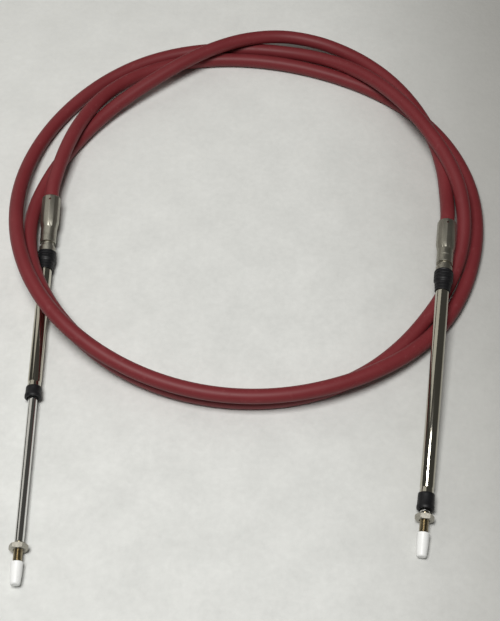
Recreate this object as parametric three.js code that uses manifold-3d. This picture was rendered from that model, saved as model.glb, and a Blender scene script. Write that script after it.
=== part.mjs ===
// Boat steering cable: a red jacketed push-pull cable lying in a coil, with a swivelling
// rod fitting on each end. Millimetres, +Z up, the floor at z = 0. The tips of both fittings
// point towards -Y.
import * as THREE from "three";
import { mergeVertices } from "three/addons/utils/BufferGeometryUtils.js";
import Module from "manifold-3d";

const wasm = await Module();
wasm.setup();

// Driving dimensions.
const conduitDiameter = 10.8;
const levelStep = 11.1; // how far a strand rises where it crosses over one other strand
const coilCentre = { x: -0.3, y: 154.3 };
const stationAngle = 20; // degrees of the coil between two stations
const travel = 101.6; // what each rod slides
const hubLength = 51; // from the swivel centre back to the mouth that holds the conduit
const crimpLength = 22.4;
const shoulderLength = 4.7; // the cone between the crimp and the neck
const grooveStart = 8.3;
const grooveEnd = 11.6;
const crimpDiameter = 14;
const neckDiameter = 12.4;
const collarDiameter = 12.4;
const mouthBoreDiameter = 11.4;
const mouthBoreDepth = 18;
const cupRadius = 5.07;
const bootDiameter = 14.4;
const bootBoreDiameter = 13.2;
const bootBack = 4; // how far it reaches over the collar
const bootFront = 7; // how far it reaches over the sleeve
const sleeveDiameter = 9.53;
const sleeveBoreDiameter = 7;
const sealDiameter = 12.2;
const rodDiameter = 6.35;
const threadDiameter = 5.9;
const nutAcrossFlats = 11.1;
const nutThickness = 4;
const nutBoreDiameter = 6.5;
const capDiameter = 8.3;
const capLength = 16.2;
const capBoreDiameter = 6.5;
const gap = 0.3; // between pieces that touch

// One fitting each side. Distances run outwards from the swivel centre along the sleeve;
// yaw turns the tip towards +X, dip lowers the tip, and the hub runs back the other way.
const leftFitting = {
  centre: [-149, 102.3, 8.3],
  yaw: 0.5,
  dip: 0.44,
  hubYaw: 0.4,
  hubRise: 8,
  sealStart: 111.2,
  sealEnd: 120.1,
  sleeveEnd: 117.6,
  nutStart: 227.7,
  capStart: 239.8,
  rodStart: 107.6,
};
const rightFitting = {
  centre: [142.3, 72.3, 25.5],
  yaw: -8,
  dip: 5.85,
  hubYaw: 8.1,
  hubRise: -2.5,
  sealStart: 165.1,
  sealEnd: 176.6,
  sleeveEnd: 173.8,
  nutStart: 179.9,
  capStart: 192.3,
  rodStart: 27,
};

// The coil, one value for each station from the left hub, at 180 degrees, clockwise to the
// right hub: the distance of the strand from the coil's centre, and the strand's level.
const stationRadii = [
  148.1, 148.1, 146.8, 155.1, 161.4, 155.2, 150.1, 152.3, 161.5,
  170.7, 176.1, 177.6, 181.0, 178.8, 177.1, 175.1, 176.1, 179.0,
  174.8, 173.7, 174.5, 173.4, 172.1, 167.2, 163.6, 161.7, 153.0,
  150.5, 162.8, 169.0, 166.7, 173.4, 174.4, 172.5, 174.0, 174.0,
  169.3, 161.2, 149.3, 144.0, 140.6, 153.6, 179.6, 177.2, 163.6,
  157.6, 151.5, 152.1, 153.0,
];
const stationLevels = [
  0.24, 0.92, 1.28, 0.91, 0.13, 0.00, 0.06, 0.00, 0.00,
  0.00, 0.05, 0.00, 0.14, 0.97, 1.16, 1.11, 1.56, 2.34,
  2.08, 0.89, 0.08, 0.00, 0.08, 0.00, 0.00, 0.74, 1.58,
  2.14, 1.91, 0.69, 0.00, 0.03, 0.02, 0.01, 0.38, 1.31,
  1.23, 0.04, 0.00, 0.29, 1.02, 1.38, 0.65, 0.43, 1.10,
  0.90, 1.04, 1.65, 2.40,
];
const lastStation = 45.5;

const smooth = new THREE.MeshStandardMaterial();

function material(colour, roughness, metalness) {
  const made = smooth.clone();
  made.color = new THREE.Color(colour);
  made.roughness = roughness;
  made.metalness = metalness;
  return made;
}

// A uniform cubic B-spline through a station list; station 0 sits on the list's second value.
function between(list, station) {
  const i = Math.floor(station);
  const f = station - i;
  const weights = [
    (1 - f) ** 3,
    3 * f ** 3 - 6 * f ** 2 + 4,
    -3 * f ** 3 + 3 * f ** 2 + 3 * f + 1,
    f ** 3,
  ];
  return weights.reduce((sum, w, k) => sum + w * list[i + k], 0) / 6;
}

function strandPoint(station) {
  const angle = THREE.MathUtils.degToRad(180 - stationAngle * station);
  const radius = between(stationRadii, station);
  return new THREE.Vector3(
    coilCentre.x + radius * Math.cos(angle),
    coilCentre.y + radius * Math.sin(angle),
    conduitDiameter / 2 + between(stationLevels, station) * levelStep,
  );
}

// Unit vector that a fitting's sleeve points along.
function outward(fitting) {
  const yaw = THREE.MathUtils.degToRad(fitting.yaw);
  const dip = THREE.MathUtils.degToRad(fitting.dip);
  return new THREE.Vector3(
    Math.sin(yaw) * Math.cos(dip),
    -Math.cos(yaw) * Math.cos(dip),
    -Math.sin(dip),
  );
}

// Unit vector from the swivel centre back to the hub's mouth.
function backward(fitting) {
  const yaw = THREE.MathUtils.degToRad(fitting.hubYaw);
  const rise = THREE.MathUtils.degToRad(fitting.hubRise);
  return new THREE.Vector3(
    Math.sin(yaw) * Math.cos(rise),
    Math.cos(yaw) * Math.cos(rise),
    Math.sin(rise),
  );
}

// A group at the swivel centre whose own +Y runs along the given direction and whose +Z
// stays as near to upright as it can.
function placed(fitting, direction) {
  const group = new THREE.Group();
  const side = new THREE.Vector3().crossVectors(direction, new THREE.Vector3(0, 0, 1)).normalize();
  const up = new THREE.Vector3().crossVectors(side, direction);
  group.quaternion.setFromRotationMatrix(new THREE.Matrix4().makeBasis(side, direction, up));
  group.position.set(...fitting.centre);
  return group;
}

// Turns a profile of [radius, distance] pairs about +Y.
function turned(profile, sides) {
  return new THREE.LatheGeometry(
    profile.map(([r, y]) => new THREE.Vector2(r, y)),
    sides,
  );
}

function arc(radius, fromDegrees, toDegrees, steps) {
  return Array.from({ length: steps + 1 }, (_, k) => {
    const a = THREE.MathUtils.degToRad(fromDegrees + ((toDegrees - fromDegrees) * k) / steps);
    return [radius * Math.cos(a), radius * Math.sin(a)];
  });
}

function solidOf(geometry) {
  const bare = geometry.clone();
  bare.deleteAttribute("normal");
  bare.deleteAttribute("uv");
  const merged = mergeVertices(bare, 1e-4);
  return new wasm.Manifold(
    new wasm.Mesh({
      numProp: 3,
      vertProperties: new Float32Array(merged.attributes.position.array),
      triVerts: new Uint32Array(merged.index.array),
    }),
  );
}

function geometryOf(solid) {
  const mesh = solid.getMesh();
  const made = new THREE.BufferGeometry();
  made.setAttribute("position", new THREE.BufferAttribute(new Float32Array(mesh.vertProperties), 3));
  made.setIndex(new THREE.BufferAttribute(new Uint32Array(mesh.triVerts), 1));
  made.computeVertexNormals();
  return made;
}

function named(name, geometry, look) {
  const mesh = new THREE.Mesh(geometry, look);
  mesh.name = name;
  return mesh;
}

// Hub, from its cup at the swivel centre back to the bore that holds the conduit.
function hubGeometry() {
  const crimp = crimpDiameter / 2;
  const neck = neckDiameter / 2;
  const collar = collarDiameter / 2;
  const bore = mouthBoreDiameter / 2;
  const crimpStart = hubLength - crimpLength;
  return turned(
    [
      ...arc(cupRadius, 90, 0, 5).map(([r, y], k) => [k === 0 ? 0 : r, y]),
      [cupRadius + 0.35, -2],
      [collar - 0.3, -2],
      [collar, -1.7],
      [collar, grooveStart],
      [collar - 1.2, grooveStart + 0.4],
      [collar - 1.2, grooveEnd - 0.4],
      [neck, grooveEnd],
      [neck, crimpStart - shoulderLength],
      [crimp, crimpStart],
      [crimp, hubLength - 0.8],
      [crimp - 0.8, hubLength],
      [bore, hubLength],
      [bore, hubLength - mouthBoreDepth],
      [0, hubLength - mouthBoreDepth],
    ],
    24,
  );
}

// Boot, a thin ring round the collar and the start of the sleeve. Distances run backwards.
function bootGeometry() {
  const outer = bootDiameter / 2;
  const inner = bootBoreDiameter / 2;
  return turned(
    [
      [inner, -bootFront],
      [outer - 0.3, -bootFront],
      [outer, 0.6 - bootFront],
      [outer, bootBack - 0.6],
      [outer - 0.3, bootBack],
      [inner, bootBack],
      [inner, -bootFront],
    ],
    24,
  );
}

function sleeveGeometry(fitting) {
  const outer = sleeveDiameter / 2;
  const bore = sleeveBoreDiameter / 2;
  const from = -THREE.MathUtils.radToDeg(Math.acos(bore / outer));
  const ball = arc(outer, from, 0, 3);
  return turned(
    [
      ...ball,
      [outer, fitting.sleeveEnd - 0.4],
      [outer - 0.4, fitting.sleeveEnd],
      [bore, fitting.sleeveEnd],
      ball[0],
    ],
    24,
  );
}

function sealGeometry(fitting) {
  const grip = sleeveDiameter / 2 + gap;
  const wiper = rodDiameter / 2 + gap;
  const outer = sealDiameter / 2;
  return turned(
    [
      [grip, fitting.sealStart],
      [outer - 0.5, fitting.sealStart],
      [outer, fitting.sealStart + 0.8],
      [outer, fitting.sealEnd - 1],
      [outer - 0.9, fitting.sealEnd],
      [wiper, fitting.sealEnd],
      [wiper, fitting.sleeveEnd + gap],
      [grip, fitting.sleeveEnd + gap],
      [grip, fitting.sealStart],
    ],
    24,
  );
}

function rodGeometry(fitting) {
  const rod = rodDiameter / 2;
  const thread = threadDiameter / 2;
  const tip = fitting.capStart + capLength - 2.4;
  const seat = fitting.nutStart - 0.4;
  return turned(
    [
      [0, fitting.rodStart],
      [rod - 0.4, fitting.rodStart],
      [rod, fitting.rodStart + 0.4],
      [rod, seat - 0.2],
      [thread, seat],
      [thread, tip - 0.6],
      [thread - 0.6, tip],
      [0, tip],
    ],
    20,
  );
}

// Jam nut: a hexagon with its corners turned off, and a round bore. It lies on a flat.
function nutGeometry(fitting) {
  const corner = nutAcrossFlats / Math.sqrt(3);
  const flat = nutAcrossFlats / 2;
  const middle = fitting.nutStart + nutThickness / 2;
  const hexagon = new THREE.CylinderGeometry(corner, corner, nutThickness, 6);
  hexagon.rotateY(Math.PI / 6);
  const chamfer = turned(
    [
      [0, -nutThickness / 2 - 0.001],
      [flat - 0.1, -nutThickness / 2 - 0.001],
      [corner + 0.1, -nutThickness / 2 + 0.7],
      [corner + 0.1, nutThickness / 2 - 0.7],
      [flat - 0.1, nutThickness / 2 + 0.001],
      [0, nutThickness / 2 + 0.001],
    ],
    36,
  );
  const bore = new THREE.CylinderGeometry(nutBoreDiameter / 2, nutBoreDiameter / 2, 2 * nutThickness, 24);
  const made = geometryOf(solidOf(hexagon).intersect(solidOf(chamfer)).subtract(solidOf(bore)));
  made.translate(0, middle, 0);
  return made;
}

function capGeometry(fitting) {
  const outer = capDiameter / 2;
  const bore = capBoreDiameter / 2;
  const start = fitting.capStart;
  const end = start + capLength;
  return turned(
    [
      [0, end - 2],
      [bore, end - 2],
      [bore, start],
      [outer - 0.15, start],
      [outer, start + 0.3],
      [outer - 0.25, end - 0.9],
      [outer - 1.1, end],
      [0, end],
    ],
    20,
  );
}

// Conduit: straight inside each hub, and the coil's stations in between.
function conduitGeometry() {
  const inHub = (fitting, distance) =>
    new THREE.Vector3(...fitting.centre).addScaledVector(backward(fitting), distance);
  const from = hubLength - mouthBoreDepth + gap;
  const points = [from, from + 9, hubLength, hubLength + 8].map((d) => inHub(leftFitting, d));
  for (let station = 0.5; station < lastStation - 0.4; station += 0.5) {
    points.push(strandPoint(station));
  }
  points.push(...[hubLength + 8, hubLength, from + 9, from].map((d) => inHub(rightFitting, d)));
  const route = new THREE.CatmullRomCurve3(points, false, "centripetal");
  route.arcLengthDivisions = 1200;
  const section = new THREE.Shape();
  section.absarc(0, 0, conduitDiameter / 2, 0, 2 * Math.PI, false);
  return new THREE.ExtrudeGeometry(section, {
    extrudePath: route,
    steps: 104,
    curveSegments: 5,
  });
}

const jacketRed = material(0x6e2c30, 0.45, 0);
const satinNickel = material(0xb9b6ae, 0.35, 1);
const polished = material(0xc4c1b6, 0.18, 1);
const rodBright = material(0xd2d0c8, 0.1, 1);
const zinc = material(0x8d8b84, 0.45, 1);
const rubber = material(0x17171a, 0.75, 0);
const whitePlastic = material(0xe6e4dc, 0.5, 0);

function fittingGroup(side, fitting) {
  const both = new THREE.Group();
  const hubFrame = placed(fitting, backward(fitting));
  hubFrame.add(named(`${side}_hub`, hubGeometry(), satinNickel.clone()));
  hubFrame.add(named(`${side}_boot`, bootGeometry(), rubber.clone()));
  const sleeveFrame = placed(fitting, outward(fitting));
  sleeveFrame.add(named(`${side}_sleeve`, sleeveGeometry(fitting), polished.clone()));
  sleeveFrame.add(named(`${side}_seal`, sealGeometry(fitting), rubber.clone()));
  sleeveFrame.add(named(`${side}_rod`, rodGeometry(fitting), rodBright.clone()));
  sleeveFrame.add(named(`${side}_jam_nut`, nutGeometry(fitting), zinc.clone()));
  sleeveFrame.add(named(`${side}_cap`, capGeometry(fitting), whitePlastic.clone()));
  both.add(hubFrame, sleeveFrame);
  return both;
}

const cable = new THREE.Group();
cable.add(named("conduit", conduitGeometry(), jacketRed));
cable.add(fittingGroup("left", leftFitting));
cable.add(fittingGroup("right", rightFitting));

export default cable;
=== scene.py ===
import math

import bpy
from mathutils import Matrix, Vector


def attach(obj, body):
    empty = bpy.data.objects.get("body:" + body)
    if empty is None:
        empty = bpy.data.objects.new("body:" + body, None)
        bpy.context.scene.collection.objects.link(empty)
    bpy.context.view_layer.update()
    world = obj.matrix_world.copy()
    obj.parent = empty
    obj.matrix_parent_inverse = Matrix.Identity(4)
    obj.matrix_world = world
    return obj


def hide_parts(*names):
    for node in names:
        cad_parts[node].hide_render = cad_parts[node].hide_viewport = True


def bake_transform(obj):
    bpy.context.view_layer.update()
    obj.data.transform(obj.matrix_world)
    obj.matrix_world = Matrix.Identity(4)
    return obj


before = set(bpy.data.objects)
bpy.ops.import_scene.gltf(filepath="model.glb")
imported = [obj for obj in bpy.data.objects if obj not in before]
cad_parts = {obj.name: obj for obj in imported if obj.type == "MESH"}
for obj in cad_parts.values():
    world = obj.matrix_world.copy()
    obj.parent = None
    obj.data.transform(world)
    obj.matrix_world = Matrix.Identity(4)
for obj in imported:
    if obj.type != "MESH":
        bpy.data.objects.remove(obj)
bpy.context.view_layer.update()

# Boat steering cable on a pale floor. Metres, +Z up; lengths in the dictionaries are millimetres.
mm = 0.001
bpy.ops.object.select_all(action="DESELECT")

# camera, set from the photograph: 56.7 degrees down, looking along +Y
view = {"place": (0.0027, -0.4448, 0.769), "down": 56.7, "focal": 1255.0, "longSide": 621}
bpy.ops.object.camera_add(location=view["place"], rotation=(math.radians(90 - view["down"]), 0, 0))
camera = bpy.context.object
camera.data.sensor_fit = "AUTO"
camera.data.sensor_width = 36
camera.data.lens = view["focal"] / view["longSide"] * 36
camera.data.clip_start = 0.01
bpy.context.scene.camera = camera
bpy.context.scene.view_settings.view_transform = "Standard"
print("camera set")

# the two end fittings: distances run from the swivel centre, along the hub or along the tube
hub = {"length": 51.0, "crimpStart": 28.6, "neckEnd": 23.9, "grooveStart": 8.3, "grooveEnd": 11.6,
       "boreDepth": 18.0, "crimp": 7.1, "neck": 6.0, "collar": 6.05, "bore": 5.7, "cup": 5.07,
       "cupRim": 0.35, "rimBehind": 2.0, "edge": 0.3, "grooveDepth": 1.5, "lineDepth": 0.15,
       "line": (17.0, 17.2, 17.7, 17.9), "mouthEdge": 0.9, "facets": 12, "facetEdge": 0.3}
sightHole = {"radius": 0.75, "depth": 6.0, "out": 7.0, "behind": 46.6}
fittings = {
    "left": {"centre": (-149.0, 102.3, 8.3), "yaw": 0.5, "dip": 0.44, "hubYaw": 0.4, "hubRise": 8.0,
             "sealStart": 111.2, "sealEnd": 120.1, "sleeveEnd": 117.6, "nutStart": 227.7,
             "capStart": 239.8, "rodStart": 107.6},
    "right": {"centre": (142.3, 72.3, 25.5), "yaw": -8.0, "dip": 5.85, "hubYaw": 8.1, "hubRise": -2.5,
              "sealStart": 165.1, "sealEnd": 176.6, "sleeveEnd": 173.8, "nutStart": 179.9,
              "capStart": 192.3, "rodStart": 27.0},
}


def outward(fitting):
    yaw, dip = math.radians(fitting["yaw"]), math.radians(fitting["dip"])
    return Vector((math.sin(yaw) * math.cos(dip), -math.cos(yaw) * math.cos(dip), -math.sin(dip)))


def backward(fitting):
    yaw, rise = math.radians(fitting["hubYaw"]), math.radians(fitting["hubRise"])
    return Vector((math.sin(yaw) * math.cos(rise), math.cos(yaw) * math.cos(rise), math.sin(rise)))


def axisFrame(fitting, direction):  # at the swivel centre, own +Z along the direction, own +X level
    level = direction.cross(Vector((0, 0, 1))).normalized()
    across = direction.cross(level)
    place = Matrix((level, across, direction)).transposed().to_4x4()
    place.translation = Vector(fitting["centre"]) * mm
    return place


# the jacketed conduit: stations every 20 degrees of the coil, clockwise from the left hub
conduit = {"diameter": 10.8, "levelStep": 11.1, "coilCentre": (-0.3, 154.3), "stationAngle": 20,
           "halfStations": 90, "endGap": 0.3, "straightInside": 9, "straightOutside": 8,
           "stepsPerKnot": 6, "declaredLength": 2.69}
stationRadii = [
    148.1, 148.1, 146.8, 155.1, 161.4, 155.2, 150.1, 152.3, 161.5,
    170.7, 176.1, 177.6, 181.0, 178.8, 177.1, 175.1, 176.1, 179.0,
    174.8, 173.7, 174.5, 173.4, 172.1, 167.2, 163.6, 161.7, 153.0,
    150.5, 162.8, 169.0, 166.7, 173.4, 174.4, 172.5, 174.0, 174.0,
    169.3, 161.2, 149.3, 144.0, 140.6, 153.6, 179.6, 177.2, 163.6,
    157.6, 151.5, 152.1, 153.0,
]
stationLevels = [
    0.24, 0.92, 1.28, 0.91, 0.13, 0.00, 0.06, 0.00, 0.00,
    0.00, 0.05, 0.00, 0.14, 0.97, 1.16, 1.11, 1.56, 2.34,
    2.08, 0.89, 0.08, 0.00, 0.08, 0.00, 0.00, 0.74, 1.58,
    2.14, 1.91, 0.69, 0.00, 0.03, 0.02, 0.01, 0.38, 1.31,
    1.23, 0.04, 0.00, 0.29, 1.02, 1.38, 0.65, 0.43, 1.10,
    0.90, 1.04, 1.65, 2.40,
]


def between(values, station):  # a uniform cubic B-spline
    first = int(math.floor(station))
    f = station - first
    weights = ((1 - f) ** 3, 3 * f ** 3 - 6 * f ** 2 + 4, -3 * f ** 3 + 3 * f ** 2 + 3 * f + 1, f ** 3)
    return sum(weight * values[first + k] for k, weight in enumerate(weights)) / 6


def strandPoint(station):
    angle = math.radians(180 - conduit["stationAngle"] * station)
    radius = between(stationRadii, station)
    level = between(stationLevels, station)
    return Vector((conduit["coilCentre"][0] + radius * math.cos(angle),
                   conduit["coilCentre"][1] + radius * math.sin(angle),
                   conduit["diameter"] / 2 + level * conduit["levelStep"]))


def hubPoint(side, distance):
    return Vector(fittings[side]["centre"]) + backward(fittings[side]) * distance


def smoothRoute(points, steps):  # a centripetal curve through the points, as the part's source has
    route = []
    for i in range(len(points) - 1):
        b, c = points[i], points[i + 1]
        a = points[i - 1] if i > 0 else 2 * b - c
        d = points[i + 2] if i + 2 < len(points) else 2 * c - b
        ta, tb, tc = (math.sqrt((q - p).length) for p, q in ((a, b), (b, c), (c, d)))
        leave = ((b - a) / ta - (c - a) / (ta + tb) + (c - b) / tb) * tb
        arrive = ((c - b) / tb - (d - b) / (tb + tc) + (d - c) / tc) * tb
        square = 3 * (c - b) - 2 * leave - arrive
        cube = 2 * (b - c) + leave + arrive
        for k in range(steps):
            f = k / steps
            route.append(b + leave * f + square * f ** 2 + cube * f ** 3)
    return route + [points[-1]]


mouth = hub["length"]
inner = mouth - hub["boreDepth"] + conduit["endGap"]
straight = (inner, inner + conduit["straightInside"], mouth, mouth + conduit["straightOutside"])
knots = [hubPoint("left", distance) for distance in straight]
knots += [strandPoint(half / 2) for half in range(1, conduit["halfStations"] + 1)]
knots += [hubPoint("right", distance) for distance in reversed(straight)]
route = [p * mm for p in smoothRoute(knots, conduit["stepsPerKnot"])]
routeLength = sum((q - p).length for p, q in zip(route, route[1:]))

lead = bpy.data.curves.new("conduit_jacket", "CURVE")
lead.dimensions = "3D"
lead.bevel_depth = conduit["diameter"] / 2 * mm
lead.bevel_resolution = 7
lead.use_fill_caps = True
spline = lead.splines.new("POLY")
spline.points.add(len(route) - 1)
for knot, place in zip(spline.points, route):
    knot.co = (*place, 1)
spline.use_smooth = True
jacket = bpy.data.objects.new("conduit_jacket", lead)
bpy.context.scene.collection.objects.link(jacket)
print("conduit laid,", round(routeLength, 3), "m")


# materials: a Wire is a socket in a Look's node tree, and arithmetic on it adds math nodes
class Wire:
    def __init__(self, look, socket):
        self.look = look
        self.socket = socket

    def do(self, operation, a, b):
        return self.look.add("ShaderNodeMath", {"operation": operation}, {0: a, 1: b})

    def __add__(self, other):
        return self.do("ADD", self, other)

    __radd__ = __add__

    def __sub__(self, other):
        return self.do("SUBTRACT", self, other)

    def __rsub__(self, other):
        return self.do("SUBTRACT", other, self)

    def __mul__(self, other):
        return self.do("MULTIPLY", self, other)

    __rmul__ = __mul__

    def above(self, level, width):  # 0 below the level, 1 above it, soft over the width
        return self.look.add("ShaderNodeMapRange", {"interpolation_type": "SMOOTHSTEP"},
                             {"Value": self, "From Min": level - width, "From Max": level + width,
                              "To Min": 0.0, "To Max": 1.0})


class Look:
    def __init__(self, name, **values):
        self.material = bpy.data.materials.new(name)
        self.material.use_nodes = True
        self.tree = self.material.node_tree
        self.shader = self.tree.nodes["Principled BSDF"]
        self.place = self.add("ShaderNodeTexCoord", {}, {}, "Object")
        self.set(values)

    def add(self, kind, settings, sockets, out=0):
        node = self.tree.nodes.new(kind)
        for name, value in settings.items():
            setattr(node, name, value)
        for name, value in sockets.items():
            self.fill(node.inputs[name], value)
        return Wire(self, node.outputs[out])

    def fill(self, socket, value):
        if isinstance(value, Wire):
            self.tree.links.new(value.socket, socket)
        elif isinstance(value, tuple) and len(value) == 3 and socket.type == "RGBA":
            socket.default_value = (*value, 1)
        else:
            socket.default_value = value

    def set(self, values):
        for name, value in values.items():
            self.fill(self.shader.inputs[name], value)

    def noise(self, scale, detail=3.0, stretch=(1, 1, 1), roughness=0.55):
        spread = self.add("ShaderNodeMapping", {}, {"Vector": self.place, "Scale": stretch})
        return self.add("ShaderNodeTexNoise", {}, {"Vector": spread, "Scale": scale, "Detail": detail,
                                                   "Roughness": roughness})

    def along(self, axis):
        return self.add("ShaderNodeSeparateXYZ", {}, {"Vector": self.place}, axis)

    def blend(self, mask, low, high):  # the colour sockets of a mix node are found by number
        return self.add("ShaderNodeMix", {"data_type": "RGBA"}, {0: mask, 6: low, 7: high}, 2)

    def bump(self, height, distance, strength=1.0):
        self.set({"Normal": self.add("ShaderNodeBump", {}, {"Height": height, "Distance": distance,
                                                            "Strength": strength})})


def jacketRed():
    look = Look("jacket_red", **{"Specular IOR Level": 0.3, "IOR": 1.48})
    cloud = look.noise(38, 3)
    grain = look.noise(900, 2)
    scuff = look.noise(240, 4, (1, 1, 1), 0.7).above(0.63, 0.04)
    base = look.blend(cloud, (0.150, 0.018, 0.022), (0.196, 0.028, 0.033))
    worn = look.blend(scuff * 0.22, base, (0.27, 0.075, 0.078))
    look.set({"Base Color": worn, "Roughness": 0.42 + cloud * 0.1 + scuff * 0.12 + grain * 0.05})
    look.bump(grain * 0.6 + cloud * 0.8, 0.00012, 0.55)
    return look.material


def platedSatin():
    look = Look("hub_plating", Metallic=1.0)
    cloud = look.noise(90, 3)
    fine = look.noise(1500, 3)
    dull = look.noise(330, 4).above(0.6, 0.07)
    base = look.blend(cloud, (0.33, 0.315, 0.265), (0.42, 0.405, 0.35))
    look.set({"Base Color": look.blend(dull * 0.45, base, (0.28, 0.265, 0.22)),
              "Roughness": 0.36 + cloud * 0.1 + dull * 0.1})
    look.bump(fine + cloud * 2, 0.00005, 0.4)
    return look.material


# polished lengthwise, as the fittings lie along Y; a thread is cut beyond the Y of threadFrom
def drawnSteel(name, low, high, rough, threadFrom=None):
    look = Look(name, Metallic=1.0)
    draw = look.noise(2600, 2, (1, 0.012, 1))
    cloud = look.noise(55, 3)
    shade, haze = look.blend(cloud, low, high), rough + draw * 0.05 + cloud * 0.03
    if threadFrom is not None:  # the cut thread is browner and duller than the shank
        cut = (0 - look.along("Y")).above(-threadFrom, 0.0004)
        shade = look.blend(cut, shade, (0.32, 0.27, 0.18))
        haze = haze + cut * 0.2
    look.set({"Base Color": shade, "Roughness": haze})
    look.bump(draw, 0.00003, 0.3)
    return look.material


def blackRubber():
    look = Look("black_rubber", **{"Specular IOR Level": 0.3})
    cloud = look.noise(160, 3)
    fine = look.noise(1900, 2)
    dust = look.noise(480, 4).above(0.62, 0.06)
    base = look.blend(cloud, (0.005, 0.005, 0.006), (0.010, 0.010, 0.0115))
    look.set({"Base Color": look.blend(dust * 0.2, base, (0.04, 0.04, 0.042)),
              "Roughness": 0.4 + cloud * 0.16 + dust * 0.12})
    look.bump(fine, 0.00006, 0.5)
    return look.material


def dullZinc():
    look = Look("nut_zinc", Metallic=0.95)
    cloud = look.noise(260, 4)
    spots = look.noise(900, 3).above(0.6, 0.05)
    base = look.blend(cloud, (0.34, 0.32, 0.27), (0.56, 0.54, 0.48))
    look.set({"Base Color": look.blend(spots * 0.4, base, (0.20, 0.185, 0.15)),
              "Roughness": 0.34 + cloud * 0.16})
    look.bump(cloud + spots * 0.4, 0.00008, 0.5)
    return look.material


def whitePlastic():
    look = Look("cap_white", **{"Specular IOR Level": 0.5})
    cloud = look.noise(140, 3)
    marks = look.noise(700, 3).above(0.64, 0.05)
    base = look.blend(cloud, (0.86, 0.87, 0.86), (0.93, 0.94, 0.93))
    look.set({"Base Color": look.blend(marks * 0.2, base, (0.60, 0.60, 0.58)),
              "Roughness": 0.34 + cloud * 0.15})
    look.bump(cloud, 0.0001, 0.3)
    return look.material


looks = {
    "jacket": jacketRed(),
    "hub_metal": platedSatin(),
    "tube_steel": drawnSteel("tube_polish", (0.50, 0.475, 0.40), (0.58, 0.555, 0.475), 0.04),
    "left_rod": drawnSteel("left_rod_bright", (0.70, 0.70, 0.68), (0.78, 0.78, 0.76), 0.04,
                           threadFrom=-0.1243),
    "right_rod": drawnSteel("right_rod_bright", (0.70, 0.70, 0.68), (0.78, 0.78, 0.76), 0.04,
                            threadFrom=-0.1038),
    "rubber": blackRubber(),
    "nut_steel": dullZinc(),
    "cap_plastic": whitePlastic(),
}
print("materials made")


def dress(piece, look):
    piece.data.materials.clear()
    piece.data.materials.append(looks[look])


def startPiece(name, kind, **values):
    bpy.ops.object.select_all(action="DESELECT")
    getattr(bpy.ops.mesh, kind)(**values)
    piece = bpy.context.object
    piece.name = piece.data.name = name
    return piece


def pick(piece):
    bpy.ops.object.select_all(action="DESELECT")
    piece.select_set(True)
    bpy.context.view_layer.objects.active = piece


def smoothed(piece, angle):
    pick(piece)
    bpy.ops.object.shade_smooth_by_angle(angle=math.radians(angle))


# a circle drawn out ring by ring along its own +Z, through pairs of radius and distance
turning = {"least": 0.004, "smooth": 32}
facetSmooth = 22


def turnedPiece(name, profile, sides, place=None, smooth=turning["smooth"]):
    pairs = [(max(r, turning["least"]), z) for r, z in profile]
    piece = startPiece(name, "primitive_circle_add", vertices=sides, radius=pairs[0][0] * mm)
    bpy.ops.object.mode_set(mode="EDIT")
    bpy.ops.mesh.select_all(action="SELECT")
    bpy.ops.transform.translate(value=(0, 0, pairs[0][1] * mm))
    for (r0, z0), (r1, z1) in zip(pairs, pairs[1:]):
        bpy.ops.mesh.extrude_region_move(TRANSFORM_OT_translate={"value": (0, 0, (z1 - z0) * mm)})
        if abs(r1 - r0) > 1e-6:
            bpy.ops.transform.resize(value=(r1 / r0, r1 / r0, 1))
    bpy.ops.mesh.select_all(action="SELECT")
    bpy.ops.mesh.remove_doubles(threshold=0.00001)
    bpy.ops.mesh.normals_make_consistent(inside=False)
    bpy.ops.object.mode_set(mode="OBJECT")
    if smooth:
        smoothed(piece, smooth)
    if place is not None:
        setDown(piece, place)
    return piece


def setDown(piece, place):
    pick(piece)
    piece.matrix_world = place
    bpy.ops.object.transform_apply(location=True, rotation=True, scale=True)


def applied(piece, kind, **values):
    pick(piece)
    modifier = piece.modifiers.new(kind.lower(), kind)
    for name, value in values.items():
        setattr(modifier, name, value)
    bpy.ops.object.modifier_apply(modifier=modifier.name)


def combined(piece, other, operation):
    applied(piece, "BOOLEAN", object=other, operation=operation, solver="EXACT")
    bpy.data.objects.remove(other)


def roundedArc(radius, first, last, steps):
    angles = [math.radians(first + (last - first) * k / steps) for k in range(steps + 1)]
    return [(radius * math.cos(a), radius * math.sin(a)) for a in angles]


made = {"left": [], "right": []}


def finishPiece(piece, look, slot, body, *replaced):
    made[piece.name.split("_")[0]].append(piece)
    dress(piece, look)
    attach(piece, body)
    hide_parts(*replaced)


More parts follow.
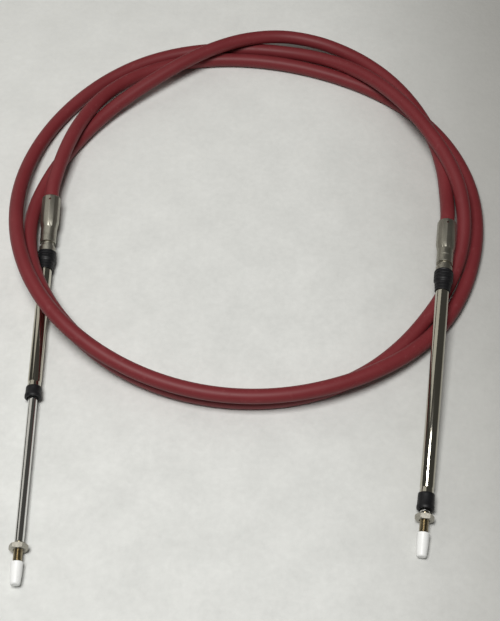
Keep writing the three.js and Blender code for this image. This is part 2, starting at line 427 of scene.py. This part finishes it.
# hub: turned collar and neck, then the twelve-sided crimp pressed on the jacket
def makeHub(side):
    fitting = fittings[side]
    neck, collar, cup, rim, edge = (hub[key] for key in ("neck", "collar", "cup", "cupRim", "edge"))
    start, end, deep = hub["grooveStart"], hub["grooveEnd"], collar - hub["grooveDepth"]
    line, lined, slant = hub["line"], neck - hub["lineDepth"], hub["lineDepth"]
    core = turnedPiece(f"{side}_hub_turned", [
        *roundedArc(cup, 90, 0, 8), (cup + rim, -hub["rimBehind"]), (collar - rim, -hub["rimBehind"]),
        (collar, 0.4 - hub["rimBehind"]), (collar, start - edge), (collar - edge, start),
        (deep, start + slant), (deep, end - slant), (neck - edge, end), (neck, end + edge),
        (neck, line[0]), (lined, line[1]), (lined, line[2]), (neck, line[3]),
        (neck, hub["crimpStart"] - 1), (0, hub["crimpStart"] - 1),
    ], 64)
    corner, bore, length, rounding = hub["crimp"], hub["bore"], hub["length"], hub["mouthEdge"]
    crimp = turnedPiece(f"{side}_hub", [
        (0, hub["neckEnd"]), (neck + slant, hub["neckEnd"]), (corner, hub["crimpStart"]),
        (corner, length - rounding), (corner - rounding, length), (bore, length),
        (bore, length - hub["boreDepth"]), (0, length - hub["boreDepth"]),
    ], hub["facets"], smooth=0)
    applied(crimp, "BEVEL", width=hub["facetEdge"] * mm, segments=2, limit_method="ANGLE",
            angle_limit=math.radians(25))
    combined(crimp, core, "UNION")
    drill = startPiece("drill", "primitive_cylinder_add", vertices=20, radius=sightHole["radius"] * mm,
                       depth=sightHole["depth"] * mm, rotation=(math.pi / 2, 0, 0),
                       location=(0, -sightHole["out"] * mm, sightHole["behind"] * mm))
    combined(crimp, drill, "DIFFERENCE")
    smoothed(crimp, facetSmooth)
    setDown(crimp, axisFrame(fitting, backward(fitting)))
    finishPiece(crimp, "hub_metal", "hub_metal", "cable", f"{side}_hub")


# boot: ribbed rubber, its back end on the collar and its front end on the sleeve
boot = {
    "back": 4.0, "front": 4.2, "outer": 6.95, "valley": 6.5, "ribs": 3, "lip": 4.95, "slack": 0.12,
    "bendStart": 1.5, "bendLength": 5.0, "blendEnd": 4.5,
    "cuff": [
        (4.95, -12.2), (5.35, -12.2), (5.6, -11.9), (5.65, -11.0), (5.3, -10.5), (5.3, -10.1),
        (5.75, -9.6), (5.8, -8.7), (5.45, -8.2), (5.45, -7.8), (6.0, -7.2), (6.1, -6.3), (5.9, -5.7),
        (6.1, -5.3),
    ],
}


def makeBoot(side):
    fitting = fittings[side]
    back, front, outer, valley = boot["back"], boot["front"], boot["outer"], boot["valley"]
    lip, seat = boot["lip"], hub["collar"] + boot["slack"]
    pitch = (back + front - 1.5) / boot["ribs"]
    outside = [(outer - 0.35, -front - 0.3), (outer - 0.1, -front)]
    for k in range(boot["ribs"]):
        z = -front + 0.5 + k * pitch
        outside += [(outer, z), (outer, z + pitch * 0.42), (outer - 0.2, z + pitch * 0.52),
                    (valley, z + pitch * 0.66), (valley, z + pitch * 0.8),
                    (outer - 0.2, z + pitch * 0.94)]
    outside += [(outer, back - 0.8), (outer - 0.15, back - 0.2), (outer - 0.5, back)]
    profile = [*boot["cuff"], *outside, (seat, back), (seat, -2.2), (seat - 0.2, -2.6),
               (lip + 0.1, -5.0), (lip, -6.0), boot["cuff"][0]]
    piece = turnedPiece(f"{side}_boot", profile, 64)
    hubPlace = axisFrame(fitting, backward(fitting))
    tubePlace = axisFrame(fitting, -outward(fitting))
    bendStart, bendLength = boot["bendStart"] * mm, boot["bendLength"] * mm
    for vertex in piece.data.vertices:  # the back keeps the hub's axis and the front takes the tube's
        along = min(max((bendStart - vertex.co.z) / bendLength, 0), 1)
        share = along * along * (3 - 2 * along)
        vertex.co = (hubPlace @ vertex.co).lerp(tubePlace @ vertex.co, share)
    made[side].append(piece)
    dress(piece, "rubber")
    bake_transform(piece)
    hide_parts(f"{side}_boot")


# sleeve: polished tube with a rounded end in the hub's cup and a rolled mark short of the seal
sleeve = {"outer": 4.765, "bore": 3.5, "markDepth": 0.22, "markBehind": 3.4, "edge": 0.4}


def makeSleeve(side):
    fitting = fittings[side]
    outer, bore, edge, end = sleeve["outer"], sleeve["bore"], sleeve["edge"], fitting["sleeveEnd"]
    mark, marked = fitting["sealStart"] - sleeve["markBehind"], outer - sleeve["markDepth"]
    ball = roundedArc(outer, -math.degrees(math.acos(bore / outer)), 0, 7)
    piece = turnedPiece(f"{side}_sleeve", [
        *ball, (outer, mark - 1.1), (marked, mark - 0.6), (marked, mark + 0.6), (outer, mark + 1.1),
        (outer, end - edge), (outer - edge, end), (bore, end), ball[0],
    ], 96, axisFrame(fitting, outward(fitting)))
    finishPiece(piece, "tube_steel", "tube_steel", f"{side}_tube", f"{side}_sleeve")


# seal: rubber wiper over the sleeve's end, a little wider at its mouth
seal = {"back": 5.6, "mouth": 6.0, "grip": 4.9, "wiper": 3.25, "endGap": 0.3}


def makeSeal(side):
    fitting = fittings[side]
    a, b, inside = fitting["sealStart"], fitting["sealEnd"], fitting["sleeveEnd"] + seal["endGap"]
    back, lips, grip, wiper = seal["back"], seal["mouth"], seal["grip"], seal["wiper"]
    piece = turnedPiece(f"{side}_seal", [
        (grip, a), (back - 0.7, a), (back - 0.2, a + 0.2), (back, a + 0.7), (back, a + 2.0),
        (back + 0.1, b - 3.2), (lips, b - 2.6), (lips, b - 0.9), (lips - 0.25, b - 0.3), (lips - 0.8, b),
        (wiper + 1.2, b), (wiper + 0.2, b - 0.7), (wiper, b - 1.1), (wiper, inside), (grip, inside),
        (grip, a),
    ], 64, axisFrame(fitting, outward(fitting)))
    finishPiece(piece, "rubber", "seal_rubber", f"{side}_tube", f"{side}_seal")


# rod: bright shank, and ridges for the thread from the jam nut to the tip
rod = {"outer": 3.175, "crest": 3.01, "root": 2.6, "pitch": 0.8, "edge": 0.4, "beforeNut": 1.2,
       "beyondCapStart": 13.8}


def makeRod(side):
    fitting = fittings[side]
    outer, root, crest, edge = rod["outer"], rod["root"], rod["crest"], rod["edge"]
    start, seat = fitting["rodStart"], fitting["nutStart"] - rod["beforeNut"]
    tip = fitting["capStart"] + rod["beyondCapStart"]
    profile = [(0, start), (outer - edge, start), (outer, start + edge), (outer, seat - 0.45),
               (root + 0.05, seat)]
    z = seat + 0.3
    while z < tip - 1.2:
        profile += [(root, z), (crest, z + 0.34), (crest, z + 0.46)]
        z += rod["pitch"]
    profile += [(root, z), (root - 0.5, tip), (0, tip)]
    piece = turnedPiece(f"{side}_rod", profile, 48, axisFrame(fitting, outward(fitting)))
    finishPiece(piece, f"{side}_rod", "rod_steel", f"{side}_slider", f"{side}_rod")


# cap: soft plastic thimble over the end of the thread
cap = {"outer": 4.05, "tipOuter": 3.3, "bore": 3.12, "wall": 2.0, "crown": 1.3,
       "length": {"left": 15.2, "right": 16.2}}


def makeCap(side):
    fitting = fittings[side]
    a, b = fitting["capStart"], fitting["capStart"] + cap["length"][side]
    outer, tipOuter, bore, inside = cap["outer"], cap["tipOuter"], cap["bore"], b - cap["wall"]
    arc = roundedArc(cap["crown"], 0, 90, 6)
    crown = [(tipOuter - cap["crown"] + r, b - cap["crown"] + z) for r, z in arc]
    piece = turnedPiece(f"{side}_cap", [
        (0, inside), (bore - 0.3, inside), (bore, b - 3.4), (bore, a), (outer - 0.2, a), (outer, a + 0.2),
        (outer, a + 1.2), (outer - 0.1, a + 1.5), (outer - 0.15, b - 7.5), (tipOuter + 0.2, b - 2.8),
        *crown, (0, b),
    ], 48, axisFrame(fitting, outward(fitting)))
    finishPiece(piece, "cap_plastic", "cap_plastic", f"{side}_thread_cap", f"{side}_cap")


# jam nut: six flats, the corners turned off at both faces
nut = {"flats": 11.1, "thickness": 4.0, "bore": 3.25, "lead": 0.35, "chamfer": 0.75}


def makeNut(side):
    fitting = fittings[side]
    start, end = fitting["nutStart"], fitting["nutStart"] + nut["thickness"]
    corner, edge = nut["flats"] / 2 / math.cos(math.pi / 6), nut["flats"] / 2 - 0.15
    bore, lead, chamfer, beyond = nut["bore"], nut["lead"], nut["chamfer"], corner + 0.1
    hexagon = turnedPiece(f"{side}_jam_nut_hex", [(0, start), (corner, start), (corner, end), (0, end)],
                          6, smooth=0)
    barrel = turnedPiece("barrel", [
        (bore + lead, start), (edge, start), (beyond, start + chamfer), (beyond, end - chamfer),
        (edge, end), (bore + lead, end), (bore, end - lead), (bore, start + lead), (bore + lead, start),
    ], 60)
    combined(hexagon, barrel, "INTERSECT")
    smoothed(hexagon, facetSmooth)
    cornersAside = Matrix.Rotation(math.pi / 6, 4, "Z")
    setDown(hexagon, axisFrame(fitting, outward(fitting)) @ cornersAside)
    finishPiece(hexagon, "nut_steel", "nut_steel", f"{side}_nut", f"{side}_jam_nut")


for side in fittings:
    makeHub(side)
    makeBoot(side)
    makeSleeve(side)
    makeSeal(side)
    makeRod(side)
    makeNut(side)
    makeCap(side)
    print(side, "fitting made")

dress(jacket, "jacket")
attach(jacket, "cable")
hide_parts("conduit")
hubPoint("left", mouth) * mm

# pale floor, with painted shade making it darker to the right and a painted pool of light making it a
# little paler at the back
floor = startPiece("floor", "primitive_plane_add", size=8, location=(0, 0.1, 0))
paper = Look("floor_pale", **{"Specular IOR Level": 0.3})
patch = paper.noise(34, 4)
fleck = paper.noise(210, 3)
# painted shade: the floor's colour darkens towards the right, where the overhead light falls off
painted_shade_right = paper.along("X").above(0.14, 0.11)
# painted light: the floor's colour pales towards the back, where the light is brightest
painted_light_back = paper.along("Y").above(0.1, 0.2)
sheet = paper.blend(0.6 * patch + 0.4 * fleck, (0.56, 0.57, 0.555), (0.84, 0.85, 0.83))
sheet = paper.blend(painted_light_back * 0.35, sheet, (0.86, 0.865, 0.84))
paper.set({"Base Color": paper.blend(painted_shade_right * 0.8, sheet, (0.37, 0.365, 0.345)),
           "Roughness": 0.62 + patch * 0.15})
paper.bump(patch + fleck, 0.0005, 0.5)
floor.data.materials.append(paper.material)

# lights: a soft box overhead, and a dim card behind to the left that draws the bands on the steel
lights = {
    "overhead": {"place": (-0.2, -0.3, 1.35), "aim": (-0.2, -0.2, 0), "size": (0.5, 0.5), "power": 17.8,
                 "colour": (1.0, 0.99, 0.97)},
    "card": {"place": (-0.85, 0.95, 0.95), "aim": (0, 0.05, 0), "size": (1.3, 1.5), "power": 3.4,
             "colour": (1.0, 0.975, 0.91)},
}
for name, light in lights.items():
    bpy.ops.object.light_add(type="AREA", location=light["place"])
    lamp = bpy.context.object
    lamp.name = name
    lamp.data.shape = "RECTANGLE"
    lamp.data.size, lamp.data.size_y = light["size"]
    lamp.data.energy = light["power"]
    lamp.data.color = light["colour"]
    towards = Vector(light["aim"]) - Vector(light["place"])
    lamp.rotation_euler = towards.to_track_quat("-Z", "Y").to_euler()

world = bpy.data.worlds.new("room")
world.use_nodes = True
room = world.node_tree.nodes["Background"].inputs
room["Color"].default_value = (0.55, 0.54, 0.50, 1)
room["Strength"].default_value = 0.12
bpy.context.scene.world = world
print("floor and lights set")
